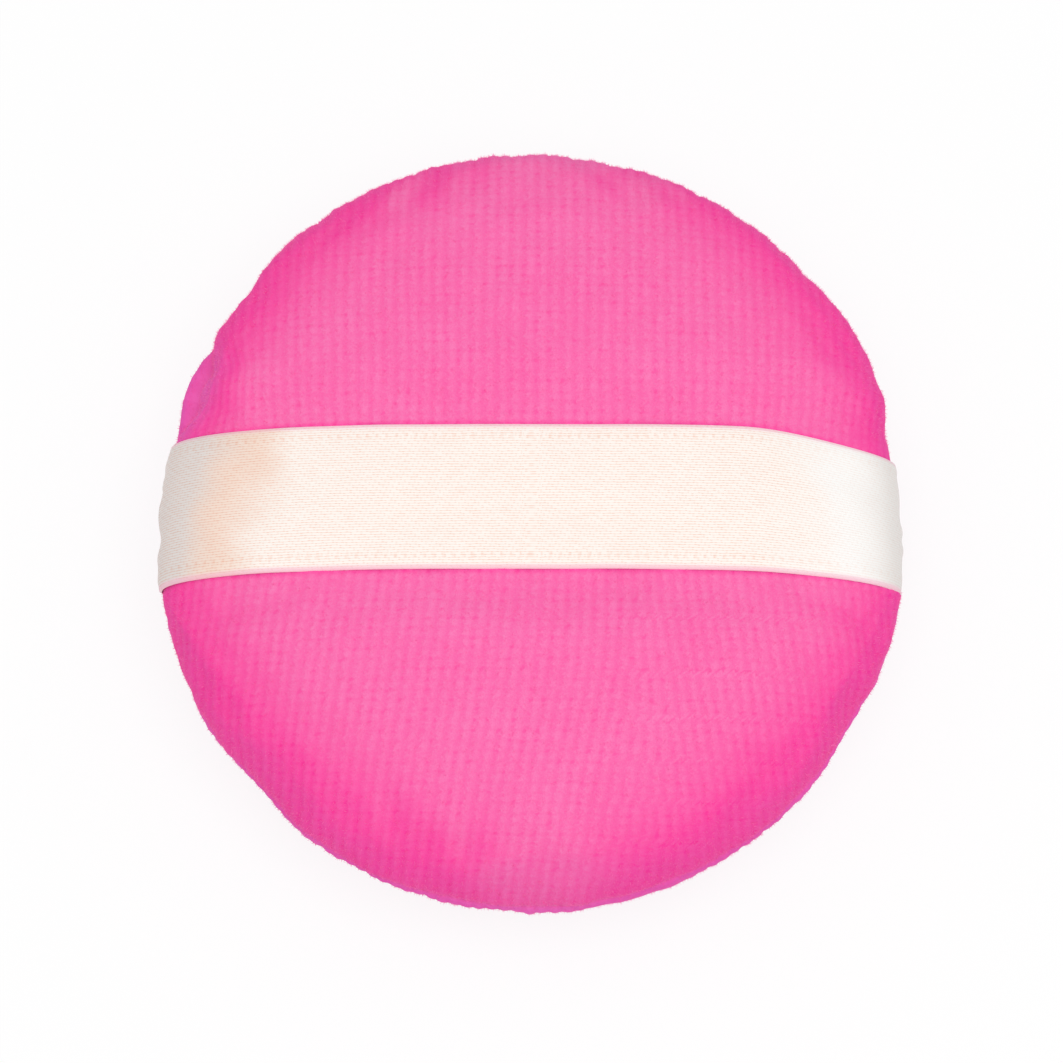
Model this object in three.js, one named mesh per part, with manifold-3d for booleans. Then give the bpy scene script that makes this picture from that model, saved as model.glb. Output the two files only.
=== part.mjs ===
// Round velour powder puff: two panels sewn right sides together, turned and stuffed with a foam disc,
// with a satin finger ribbon laid over the crown and caught in the rim seam at both ends.
// Millimetres, +Z up, X along the ribbon, origin on the table under the middle of the puff.
import * as THREE from "three";
import { mergeVertices } from "three/addons/utils/BufferGeometryUtils.js";
import Module from "manifold-3d";

// Puff body, before the ribbon draws it in
const PUFF_WIDTH = 81;
const PUFF_LENGTH = 84;
const CROWN_HEIGHT = 12.2;
const BELLY_DEPTH = 10.4;
const REST_FACE_WIDTH = 40;

// Fullness of the rounded sides: 2 is an ellipse, more is squarer
const CROWN_FULLNESS = 3.2;
const BELLY_FULLNESS = 2.2;

// Velour panels and their seam
const VELOUR_THICKNESS = 1.4;
const FOLD_INSIDE_RADIUS = 0.5;
const STITCH_SETBACK = 0.9;
const SEAM_ALLOWANCE = 3.2;
const TURNING_GAP = 28;

// Ribbon, and how it pulls on the puff
const RIBBON_WIDTH = 16;
const RIBBON_THICKNESS = 0.3;
const RIM_PINCH = 1;
const SEAM_LIFT = 1.6;
const PULL_SPREAD = 12;
const CHANNEL_DEPTH = 1.1;
const CHANNEL_MARGIN = 2;
const CHANNEL_SLOPE = 6;
const PARTING_MARGIN = 5;
const PARTING_SLOPE = 4;

// Sewing thread
const THREAD_DIAMETER = 0.4;
const STITCH_PITCH = 5;
const CLOSING_PITCH = 3;
const CROSSING_RUN = 0.8;

// Free space between neighbouring pieces
const CLEARANCE = 0.3;

// Fineness of the surfaces
const RIM_SEGMENTS = 48;
const CROWN_STEPS = 12;
const LINING_STEPS = 6;
const FOLD_STEPS = 3;
const RIBBON_STEPS = 8;
const RIBBON_STATIONS = 5;
const THREAD_SIDES = 5;

const QUARTER_TURN = Math.PI / 2;
const FULL_TURN = Math.PI * 2;

// Sizes that follow from the ones above; heights are measured from the seam level
const seamLevel = BELLY_DEPTH;
const seamGap = CLEARANCE;
const widestParting = (RIBBON_THICKNESS + CLEARANCE) / 2;
const foldRadius = VELOUR_THICKNESS + FOLD_INSIDE_RADIUS;
const foldCentre = seamGap / 2 + foldRadius;
const allowanceTop = seamGap / 2 + VELOUR_THICKNESS;
const stitchInset = foldRadius + STITCH_SETBACK;
const rawEdgeInset = stitchInset + SEAM_ALLOWANCE;
const threadRadius = THREAD_DIAMETER / 2;
const stitchRun = allowanceTop + CLEARANCE + threadRadius;
const grooveHalf = stitchRun + threadRadius + CLEARANCE;
const turningAngle = TURNING_GAP / (PUFF_LENGTH / 2 - stitchInset);
const restShare = REST_FACE_WIDTH / PUFF_WIDTH;

const wasm = await Module();
wasm.setup();

// Centre to rim of the plain oval, in the direction of an angle
function ovalRadius(angle) {
  const across = Math.cos(angle) / (PUFF_WIDTH / 2);
  const along = Math.sin(angle) / (PUFF_LENGTH / 2);
  return 1 / Math.hypot(across, along);
}

// Distance of the rim there from the ribbon's middle line
function rimOffset(angle) {
  return ovalRadius(angle) * Math.sin(angle);
}

// How hard the ribbon pulls on the rim there: 1 at the ribbon's ends, fading to 0 away from them
function ribbonPull(angle) {
  return Math.exp(-((rimOffset(angle) / PULL_SPREAD) ** 2));
}

function rimRadius(angle) {
  return ovalRadius(angle) - RIM_PINCH * ribbonPull(angle);
}

// Centre to rim along X, at an offset across the ribbon
function rimReach(offset) {
  const passes = 8;
  let angle = 0;
  for (let pass = 0; pass < passes; pass += 1) {
    angle = Math.asin(offset / rimRadius(angle));
  }
  return rimRadius(angle) * Math.cos(angle);
}

// Depth of the shallow channel that the ribbon presses into the crown, at an offset from its middle line
function channelDepth(offset) {
  const past = Math.abs(offset) - RIBBON_WIDTH / 2 - CHANNEL_MARGIN;
  return CHANNEL_DEPTH * (1 - THREE.MathUtils.smoothstep(past, 0, CHANNEL_SLOPE));
}

// How far each panel parts from the seam level to let the ribbon in
function seamParting(angle) {
  const past = Math.abs(rimOffset(angle)) - RIBBON_WIDTH / 2 - PARTING_MARGIN;
  return widestParting * (1 - THREE.MathUtils.smoothstep(past, 0, PARTING_SLOPE));
}

// Moves a point from the plain cushion to the drawn-in one: the seam rises and parts at the ribbon's ends,
// and the crown sinks under the ribbon. All fade out towards the levels that they leave alone. panel is 1
// for what moves with the upper panel and -1 for the lower one.
function settle(x, y, height, share, angle, panel = Math.sign(height)) {
  const reach = height > 0 ? CROWN_HEIGHT : BELLY_DEPTH;
  const level = height / reach;
  const pull = SEAM_LIFT * ribbonPull(angle) + panel * seamParting(angle);
  const rise = pull * share * (1 - Math.abs(level));
  const sink = channelDepth(y) * Math.max(level, 0);
  return new THREE.Vector3(x, y, seamLevel + height + rise - sink);
}

// A point of the puff: share is its part of the way to the rim, inset its distance in from the rim
function place({ share, inset, height }, angle) {
  const radius = share * (rimRadius(angle) - inset);
  return settle(radius * Math.cos(angle), radius * Math.sin(angle), height, share, angle);
}

function steps(count) {
  return Array.from({ length: count + 1 }, (unused, index) => index / count);
}

// Rounded side from a flat middle to the rim, or to a lip short of it, as shares and rises of a superellipse
function roundedSide(count, fullness, flatShare, lip = 1) {
  return steps(count).map((part) => {
    const reach = Math.sin(part * Math.asin(lip));
    return { share: flatShare + (1 - flatShare) * reach, rise: Math.sqrt(1 - reach ** fullness) };
  });
}

// Closed surface over rings of points, where a ring of one point is a pole
function loft(rings) {
  const points = rings.flat();
  const starts = [];
  let total = 0;
  for (const ring of rings) {
    starts.push(total);
    total += ring.length;
  }
  const triangles = [];
  for (let band = 0; band + 1 < rings.length; band += 1) {
    const [above, below] = [rings[band].length, rings[band + 1].length];
    const around = Math.max(above, below);
    for (let j = 0; j < around; j += 1) {
      const next = (j + 1) % around;
      const upper = starts[band] + (j % above);
      const upperNext = starts[band] + (next % above);
      const lower = starts[band + 1] + (j % below);
      const lowerNext = starts[band + 1] + (next % below);
      if (below > 1) {
        triangles.push(upper, lower, lowerNext);
      }
      if (above > 1) {
        triangles.push(upper, lowerNext, upperNext);
      }
    }
  }
  const geometry = new THREE.BufferGeometry().setFromPoints(points);
  geometry.setIndex(triangles);
  return geometry;
}

// Revolves a profile round the drawn-in oval; its first and last points lie on the axis
function revolve(profile) {
  const rimAngles = steps(RIM_SEGMENTS).slice(1).map((part) => part * FULL_TURN);
  const last = profile.length - 1;
  const rings = profile.map((point, index) => {
    if (index === 0 || index === last) {
      return [place(point, 0)];
    }
    return rimAngles.map((angle) => place(point, angle));
  });
  return loft(rings);
}

function solidOf(geometry) {
  const bare = geometry.clone();
  bare.deleteAttribute("normal");
  bare.deleteAttribute("uv");
  const merged = mergeVertices(bare);
  const vertProperties = new Float32Array(merged.attributes.position.array);
  const triVerts = new Uint32Array(merged.index.array);
  return new wasm.Manifold(new wasm.Mesh({ numProp: 3, vertProperties, triVerts }));
}

function geometryOf(solid) {
  const mesh = solid.getMesh();
  const geometry = new THREE.BufferGeometry();
  geometry.setAttribute("position", new THREE.BufferAttribute(new Float32Array(mesh.vertProperties), 3));
  geometry.setIndex(new THREE.BufferAttribute(new Uint32Array(mesh.triVerts), 1));
  return geometry;
}

// Angles of the seam's needle holes, evenly spaced round the rim and left out along the turning gap
const sewnAngle = FULL_TURN - turningAngle;
const stitchCount = Math.round((sewnAngle * (PUFF_LENGTH / 2 - stitchInset)) / STITCH_PITCH);
const stitchStep = sewnAngle / stitchCount;
const sewnStart = QUARTER_TURN + turningAngle / 2;
const stitchAngles = steps(stitchCount).slice(1).map((part) => sewnStart + part * sewnAngle - stitchStep / 2);

// Pierces a layer of the seam with the needle holes
function pierce(geometry) {
  const holeWidth = THREAD_DIAMETER + 2 * CLEARANCE;
  const holeLength = CROSSING_RUN + THREAD_DIAMETER + 2 * CLEARANCE;
  const holeHeight = 2 * (allowanceTop + widestParting + CLEARANCE);
  let solid = solidOf(geometry);
  for (const angle of stitchAngles) {
    const hole = new THREE.BoxGeometry(holeWidth, holeLength, holeHeight);
    const centre = place({ share: 1, inset: stitchInset, height: 0 }, angle);
    hole.rotateZ(angle);
    hole.translate(centre.x, centre.y, centre.z);
    solid = solid.subtract(solidOf(hole));
  }
  return geometryOf(solid);
}

// Section of a panel: over its outside, round the fold at the rim, along the turned-in seam allowance
// to the raw edge, and back over its inside
function panelProfile(depth, fullness, flatShare) {
  const outside = roundedSide(CROWN_STEPS, fullness, flatShare).map(({ share, rise }) => ({
    share, inset: 0, height: foldCentre + (depth - foldCentre) * rise,
  }));
  const fold = steps(FOLD_STEPS).slice(1).map((part) => ({
    share: 1,
    inset: foldRadius * (1 - Math.cos(part * QUARTER_TURN)),
    height: foldCentre - foldRadius * Math.sin(part * QUARTER_TURN),
  }));
  const allowance = [
    { share: 1, inset: rawEdgeInset, height: seamGap / 2 },
    { share: 1, inset: rawEdgeInset, height: allowanceTop },
    { share: 1, inset: foldRadius, height: allowanceTop },
  ];
  const inside = roundedSide(LINING_STEPS, fullness, flatShare).reverse().map(({ share, rise }) => ({
    share, inset: VELOUR_THICKNESS, height: foldCentre + (depth - VELOUR_THICKNESS - foldCentre) * rise,
  }));
  const profile = [...outside, ...fold, ...allowance, ...inside];
  if (flatShare > 0) {
    profile.unshift({ share: 0, inset: 0, height: depth });
    profile.push({ share: 0, inset: 0, height: depth - VELOUR_THICKNESS });
  }
  return profile;
}

// Turns a profile upside down, for the panel and the half of the core below the seam
function belowSeam(profile) {
  return profile.map((point) => ({ ...point, height: -point.height })).reverse();
}

function upperCover() {
  return pierce(revolve(panelProfile(CROWN_HEIGHT, CROWN_FULLNESS, 0)));
}

function lowerCover() {
  return pierce(revolve(belowSeam(panelProfile(BELLY_DEPTH, BELLY_FULLNESS, restShare))));
}

// Half of the foam core, from the axis out under the panel's lining and in again over the groove that
// takes the seam allowances
function coreProfile(depth, fullness, flatShare) {
  const lining = VELOUR_THICKNESS + CLEARANCE;
  const crown = depth - lining - foldCentre;
  const lipRise = (grooveHalf - foldCentre) / crown;
  const lip = (1 - lipRise ** 2) ** (1 / fullness);
  const side = roundedSide(LINING_STEPS, fullness, flatShare, lip).map(({ share, rise }) => ({
    share, inset: lining, height: foldCentre + crown * rise,
  }));
  const groove = { share: 1, inset: rawEdgeInset + CLEARANCE, height: grooveHalf };
  const profile = [...side, groove];
  if (flatShare > 0) {
    profile.unshift({ share: 0, inset: 0, height: depth - lining });
  }
  return profile;
}

function foamCore() {
  const upper = coreProfile(CROWN_HEIGHT, CROWN_FULLNESS, 0);
  const lower = belowSeam(coreProfile(BELLY_DEPTH, BELLY_FULLNESS, restShare));
  return revolve([...upper, ...lower]);
}

// Stops along one half of the ribbon, from its raw end in the seam, round the fold and up to the crown
function ribbonStops() {
  const tail = [{ inset: rawEdgeInset }];
  const fold = steps(FOLD_STEPS).map((part) => ({ turn: (1 - part) * QUARTER_TURN }));
  const crown = roundedSide(RIBBON_STEPS, CROWN_FULLNESS, 0).reverse().slice(1);
  return [...tail, ...fold, ...crown.map(({ share }) => ({ share }))];
}

// A point of the ribbon on the left (-1) or right (+1), at an offset across it and a distance off the panel
function ribbonPoint(side, stop, offset, off) {
  const rim = rimReach(offset);
  if (stop.share !== undefined) {
    const base = stop.share * rim;
    const angle = Math.atan2(offset, base);
    const share = Math.min(Math.hypot(base, offset) / rimRadius(angle), 1);
    const height = foldCentre + (CROWN_HEIGHT - foldCentre) * Math.sqrt(1 - share ** CROWN_FULLNESS);
    const point = settle(side * stop.share * (rim + off), offset, height, share, angle);
    point.z += off;
    return point;
  }
  const angle = Math.atan2(offset, rim);
  if (stop.turn === undefined) {
    return settle(side * (rim - stop.inset), offset, seamGap / 2 - off, 1, angle, 1);
  }
  const radius = foldRadius + off;
  const inset = foldRadius - radius * Math.cos(stop.turn);
  return settle(side * (rim - inset), offset, foldCentre - radius * Math.sin(stop.turn), 1, angle, 1);
}

function satinRibbon() {
  const offsets = steps(RIBBON_STATIONS - 1).map((part) => (part - 0.5) * RIBBON_WIDTH);
  const stops = ribbonStops();
  const leftStops = stops.map((stop) => ({ side: -1, stop }));
  const rightStops = stops.slice(0, -1).reverse().map((stop) => ({ side: 1, stop }));
  const rings = [...leftStops, ...rightStops].map(({ side, stop }) => {
    const face = offsets.map((offset) => ribbonPoint(side, stop, offset, CLEARANCE + RIBBON_THICKNESS));
    const back = offsets.map((offset) => ribbonPoint(side, stop, offset, CLEARANCE));
    return [...face, ...back.reverse()];
  });
  return pierce(loft([[middleOf(rings[0])], ...rings, [middleOf(rings.at(-1))]]));
}

function middleOf(ring) {
  const middle = new THREE.Vector3();
  for (const point of ring) {
    middle.addScaledVector(point, 1 / ring.length);
  }
  return middle;
}

// Thread of round section through points in the puff, each a place near the rim and its angle
function threadThrough(path) {
  const centres = path.map(({ inset, height, angle }) => place({ share: 1, inset, height }, angle));
  const rings = centres.map((centre, index) => {
    const before = centres[Math.max(index - 1, 0)];
    const after = centres[Math.min(index + 1, centres.length - 1)];
    const along = after.clone().sub(before).normalize();
    const angle = path[index].angle;
    const outward = new THREE.Vector3(Math.cos(angle), Math.sin(angle), 0);
    const side = outward.clone().cross(along).normalize();
    outward.copy(along).cross(side).normalize();
    return Array.from({ length: THREAD_SIDES }, (unused, j) => {
      const turn = (j * FULL_TURN) / THREAD_SIDES;
      return centre.clone()
        .addScaledVector(outward, threadRadius * Math.cos(turn))
        .addScaledVector(side, threadRadius * Math.sin(turn));
    });
  });
  return loft([[centres[0]], ...rings, [centres.at(-1)]]);
}

// Running stitch: over one seam allowance, down through a needle hole, under the other, and up the next
function seamThread() {
  const seamRadius = PUFF_LENGTH / 2 - stitchInset;
  const crossing = CROSSING_RUN / 2 / seamRadius;
  const bend = THREAD_DIAMETER / seamRadius;
  const bent = stitchRun - THREAD_DIAMETER;
  const path = stitchAngles.flatMap((middle, index) => {
    const from = index % 2 === 0 ? 1 : -1;
    return [
      { angle: middle - crossing - bend, height: from * stitchRun },
      { angle: middle - crossing, height: from * bent },
      { angle: middle + crossing, height: -from * bent },
      { angle: middle + crossing + bend, height: -from * stitchRun },
    ];
  });
  return threadThrough(path.map((point) => ({ ...point, inset: stitchInset })));
}

// Slip stitch that shuts the turning gap, zigzagging in the groove between the two folds
function closingStitch() {
  const inset = threadRadius;
  const foldHeight = foldCentre - Math.sqrt(foldRadius ** 2 - (foldRadius - inset) ** 2);
  const swing = foldHeight - CLEARANCE - threadRadius;
  const count = Math.round(TURNING_GAP / CLOSING_PITCH);
  const step = turningAngle / count;
  const start = QUARTER_TURN - turningAngle / 2;
  const rungs = Array.from({ length: count + 1 }, (unused, index) => ({
    inset, height: index % 2 === 0 ? swing : -swing, angle: start + index * step,
  }));
  return threadThrough(rungs);
}

const velour = { color: 0xf56bab, roughness: 0.95, metalness: 0 };
const satin = { color: 0xf8efe7, roughness: 0.42, metalness: 0 };
const foam = { color: 0xf4ecd6, roughness: 0.9, metalness: 0 };
const sewingThread = { color: 0xea5f9f, roughness: 0.6, metalness: 0 };

const puff = new THREE.Group();

function addPiece(name, geometry, finish) {
  geometry.computeVertexNormals();
  const piece = new THREE.Mesh(geometry, new THREE.MeshStandardMaterial(finish));
  piece.name = name;
  puff.add(piece);
}

addPiece("upper_cover", upperCover(), velour);
addPiece("lower_cover", lowerCover(), velour);
addPiece("foam_core", foamCore(), foam);
addPiece("satin_ribbon", satinRibbon(), satin);
addPiece("seam_thread", seamThread(), sewingThread);
addPiece("closing_stitch", closingStitch(), sewingThread);

export default puff;
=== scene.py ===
"""Round velour powder puff with a satin finger ribbon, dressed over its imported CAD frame.

Metres, in the frame of the CAD: +Z up, X along the ribbon, origin on the table under the puff.
"""

import math
from math import radians

import bpy
import numpy as np
from bpy.props import FloatProperty, FloatVectorProperty, IntProperty, PointerProperty
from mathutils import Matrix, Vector


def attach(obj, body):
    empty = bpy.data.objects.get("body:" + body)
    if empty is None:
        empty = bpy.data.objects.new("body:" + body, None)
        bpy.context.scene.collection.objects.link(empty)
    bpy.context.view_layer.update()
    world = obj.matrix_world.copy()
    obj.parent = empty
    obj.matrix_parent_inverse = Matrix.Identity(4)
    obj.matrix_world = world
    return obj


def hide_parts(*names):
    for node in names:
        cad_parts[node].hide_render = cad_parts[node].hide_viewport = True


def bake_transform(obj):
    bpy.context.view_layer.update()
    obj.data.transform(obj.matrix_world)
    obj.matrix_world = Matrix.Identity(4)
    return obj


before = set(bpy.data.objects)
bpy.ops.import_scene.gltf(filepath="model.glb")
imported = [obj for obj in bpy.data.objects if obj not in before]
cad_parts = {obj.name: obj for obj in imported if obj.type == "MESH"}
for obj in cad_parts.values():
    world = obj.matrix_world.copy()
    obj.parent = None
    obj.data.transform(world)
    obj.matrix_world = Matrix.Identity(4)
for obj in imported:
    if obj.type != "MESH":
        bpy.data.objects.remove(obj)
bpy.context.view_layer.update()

bl_info = {
    "name": "Velour Powder Puff",
    "version": (1, 0, 0),
    "blender": (4, 5, 0),
    "location": "3D View > Sidebar > Powder Puff",
    "description": "Dresses the packed powder puff in velour, pile, a satin ribbon and stitches",
    "category": "Add Mesh",
}

QUARTER = math.pi / 2
FULL_TURN = 2 * math.pi
MM = 0.001
CROWN, BASE = 1, -1

# Grid of a velour panel: whole wales across, each of this many columns, and rows along them
COLUMNS_PER_WALE = 6
ROWS = {CROWN: 188, BASE: 150}
END_COLUMN_ANGLE = radians(1.8)
LINING_RINGS = 5
FOLD_END = 2.0
SECTION_LEVELS = 13
SECTION_STEPS = 1500

# Steps of a dense line that is measured, and rounds of solving for the rim and for the end of a wale
DENSE_STEPS = 6000
RIM_ROUNDS, END_ROUNDS = 8, 40

# How the cloth lies: its wales run straight behind the ribbon and part in front of it, in shares of the rim
CLOTH_STRETCH = 0.3
PARTING_START = 0.30
PARTING_SOFT = 0.25
PARTING_SLOPE = math.tan(radians(10.5))
PARTING_MIDDLE = 0.26
PARTING_WIDTH = 0.03
RIDGE_ANGLE, RIDGE_SPREAD = radians(-86), radians(13)

# Painted shade down the sides: how much the cloth's tilt deepens its colour, and where it is painted
# paler as painted light, at the back, the front and the right: the way it faces, its spread and how much
SIDE_SHADE_DEPTH = 0.83
PAINTED_LIGHT_SIDES = (
    (radians(88), radians(20), 0.62),
    (radians(271), radians(17), 0.45),
    (radians(345), radians(25), 0.14),
)

# Uneven places of the rim, as angles from +X. The hollows are right, left, low on the left and in front
LOBE_FROM, LOBE_FULL = radians(147.5), radians(155.5)
LOBE_FADE, LOBE_GONE = radians(160), radians(169)
LIFT_FADE, LIFT_GONE = radians(157), radians(168)
# Where the painted sheen on the crown beside the lobe fades out
SHEEN_FADE, SHEEN_GONE = radians(168), radians(178)
NOTCH_ANGLE, NOTCH_SPREAD = radians(143), radians(8.5)
HOLLOW_ANGLES = radians(14), radians(172), radians(-135), radians(-33)
BULGE_ANGLES = radians(-11), radians(-167)
HOLLOW_SPREAD = radians(7)
PARTED_SEAM_FADE = 1.8 * MM

# Cloth simulation that swells the panels: its coarse grid, scale, length, what it holds and its settings.
# It holds the seam from a place of the section on, a margin beside the ribbon, and what rests on the table
SWELL_CELLS = 44
SWELL_SCALE = 20
SWELL_FRAMES = 20
HELD_SEAM = 1.4
HELD_MARGIN = 0.4 * MM
HELD_LEVEL = 0.02 * MM
SWELL_SETTINGS = {
    "mass": 0.02,
    "use_pressure": True,
    "uniform_pressure_force": 1,
    "shrink_min": -0.01,
    "tension_stiffness": 12,
    "compression_stiffness": 12,
    "bending_stiffness": 0.2,
}

# Ribbon: its grid, the turn past which its edge is sharp, where it strays, its dent and its unevenness
RIBBON_STEPS = 420
RIBBON_STATIONS = 40
EDGE_ANGLE = radians(80)
STRAY_FROM, STRAY_FULL = 22 * MM, 40 * MM
DENT_MIDDLE, DENT_SPREAD = 1.4 * MM, 1.6 * MM
EDGE_CURL = 0.13 * MM
RIPPLE = 0.05 * MM
WAVE_SEED, RIPPLE_SEED = 43, 31

# Foam: points round it, rings on each half, the share of them on a flat face, where its rounded side ends,
# its gap to the lining, the place of the groove that the seam allowances lie in, and its pores
FOAM_AROUND = 180
FOAM_STEPS = 26
FOAM_FLAT = 0.3
FOAM_END = radians(86)
FOAM_GAP = 0.35 * MM
GROOVE_INSET, GROOVE_HEIGHT = 7.2 * MM, 2.6 * MM
PORE_DEPTH = 0.35 * MM
PORE_SEED = 11

# Closing stitches: points of their line, how far inside the rim, how long and how far they slant
STITCH_POINTS = 60
STITCH_INSET = 0.75 * MM
STITCH_SPAN = 1.0 * MM
STITCH_SLANT = 0.35 * MM

# Stage: where the camera aims, the softbox, and the floor, which partly shines where it is seen
AIM_OFFSET = -0.5 * MM
SOFTBOX_SIZE, SOFTBOX_PLACE = 0.7, (0.07, -0.13, 0.76)
FLOOR_HALF, FLOOR_LEVEL = 2.0, -0.03 * MM
FLOOR_SHINE = 0.85

# Sockets of the Mix node for colours, and the Random Value node's for numbers
MIX_FACTOR, MIX_A, MIX_B, MIX_COLOUR = 0, 6, 7, 2
RANDOM_LEAST, RANDOM_MOST, RANDOM_NUMBER = 2, 3, 1

# Kinds of input of a Geometry Nodes tree, by the value that goes in
SOCKETS = {float: "NodeSocketFloat", int: "NodeSocketInt", bpy.types.Material: "NodeSocketMaterial"}


def told(name, description, default):
    """What every setting tells its user."""
    return {"name": name, "description": description, "default": default}


def length(*shown):
    return FloatProperty(**told(*shown), min=0, precision=5, unit="LENGTH")


def share_of(*shown, most=1.0):
    return FloatProperty(**told(*shown), min=0, max=most, subtype="FACTOR")


def fullness(*shown, least=1.5):
    return FloatProperty(**told(*shown), min=least, max=6)


def count(*shown):
    return IntProperty(**told(*shown), min=0, max=30)


def colour(*shown):
    return FloatVectorProperty(**told(*shown), min=0, max=1, subtype="COLOR")


class PuffSizes(bpy.types.PropertyGroup):
    """Sizes of the stuffed puff"""

    puff_width: length("Puff Width", "Rim to rim along the ribbon, before the ribbon draws it in", 0.0812)
    puff_length: length("Puff Length", "Rim to rim across the ribbon", 0.0841)
    crown_height: length("Crown Height", "Seam level to the top of the ribbon side", 0.0122)
    belly_depth: length("Belly Depth", "Table to the seam level", 0.0104)
    rest_width: length("Rest Face Width", "Flat patch that lies on the table", 0.040)
    crown_fullness: fullness("Crown Fullness", "2 is an ellipse, more is squarer", 2.8)
    belly_fullness: fullness("Belly Fullness", "2 is an ellipse, more is squarer", 2.2)
    end_squareness: fullness("End Squareness", "Added to the shoulders under the ribbon", 0.9, least=0)
    velour_thickness: length("Velour Thickness", "Knit backing with its pile", 0.0014)
    fold_radius: length("Fold Radius", "Outside of the fold at the rim", 0.0010)
    seam_gap: length("Seam Gap", "Between the turned-in edges of the two panels", 0.00002)
    seam_allowance: length("Seam Allowance", "From the fold to the raw edge, inside the puff", 0.0048)
    rim_pinch: length("Rim Pinch", "How far the ribbon draws the rim in at its ends", 0.0016)
    seam_lift: length("Seam Lift", "How far the ribbon lifts the seam at its ends", 0.0016)
    pull_spread: length("Pull Spread", "How far along the rim the ribbon's pull is felt", 0.012)
    channel_depth: length("Channel Depth", "How deep the ribbon sinks into the crown", 0.0011)
    channel_margin: length("Channel Margin", "Flat of the channel beside the ribbon", 0.002)
    channel_slope: length("Channel Slope", "Width of the slope beside the ribbon", 0.006)
    seam_parting: length("Seam Parting", "How far each panel parts to let the ribbon in", 0.0002)
    lobe_draw: length("Lobe Draw", "How far the crown is drawn in beside the ribbon's left end", 0.0023)
    lobe_rise: length("Lobe Rise", "How far the seam rides up there", 0.0014)
    notch_depth: length("Notch Depth", "Dent of the rim where the drawn-in stretch begins", 0.0011)
    hollow_depth: length("Hollow Depth", "Shallow hollows of the rim", 0.0006)
    bulge_rise: length("Bulge Rise", "How far the rim stands out beside the ribbon's front edge", 0.0004)
    ridge_rise: length("Ridge Rise", "How far the cloth bulges where its wales part", 0.0005)
    swell_limit: length("Swell Limit", "Most that the simulated stuffing moves the cover", 0.00045)


class VelourLook(bpy.types.PropertyGroup):
    """Ribs, pile and colours of the velour"""

    wale_pitch: length("Wale Pitch", "Rib to rib of the knit", 0.00133)
    course_pitch: length("Course Pitch", "Tuft to tuft along a rib", 0.00110)
    wale_relief: length("Wale Relief", "Groove to crest of a rib on top", 0.00004)
    side_relief: length("Side Relief", "Groove to crest of a rib beside the seam", 0.00017)
    # Painted shade on the velour beside the ribbon's edges: how deep, and how far out
    pressed_depth: share_of("Pressed Depth", "How deep one looks into the pile at the ribbon's edge", 0.42)
    pressed_width: length("Pressed Width", "How far from the ribbon that reaches", 0.0011)
    wale_wander: length("Wale Wander", "How far a rib strays from straight", 0.00013)
    softness: length("Softness", "Height of the soft unevenness over the foam", 0.00007)
    pucker: length("Pucker", "Height of the gathers beside the seam", 0.00005)
    # Colours on top carry painted light; colours down the sides carry painted shade
    rib_pink: colour("Rib Pink", "Tufts on top, where the pile catches the light", (0.958, 0.235, 0.51))
    groove_pink: colour("Groove Pink", "Between the tufts on top", (0.950, 0.110, 0.382))
    side_pink: colour("Side Pink", "Tufts down the sides, seen deeper into the pile", (0.975, 0.112, 0.412))
    deep_pink: colour("Deep Pink", "Between the tufts down the sides", (0.955, 0.044, 0.326))
    rim_shade: colour("Rim Shade", "What darkens the last of the side above the seam", (0.92, 1.0, 1.0))
    # Painted sheen: the colour given to the powder side and to the crown beside the lobe
    lilac: colour("Lilac", "Cast of the powder side's pile", (0.95, 0.145, 0.58))
    pile_pale: colour("Pale Fibre", "Fibres that stand proud and catch the light", (0.96, 0.22, 0.53))
    pile_deep: colour("Deep Fibre", "Fibres in the body of the pile", (0.95, 0.13, 0.45))
    fibre_length: length("Fibre Length", "Pile that stands out of the cloth", 0.00034)
    fibre_width: length("Fibre Width", "Thickness of a tuft of pile at its root", 0.00005)
    fibre_lean: share_of("Fibre Lean", "How far fibres lean out of the upright", 0.75, most=2)
    crown_fibres: count("Crown Fibres", "Fibres on a square millimetre of crown", 7)
    base_fibres: count("Base Fibres", "Fibres on a square millimetre of base", 6)
    seed: IntProperty(name="Seed", description="Start of the random places", default=5, min=0)


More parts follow.
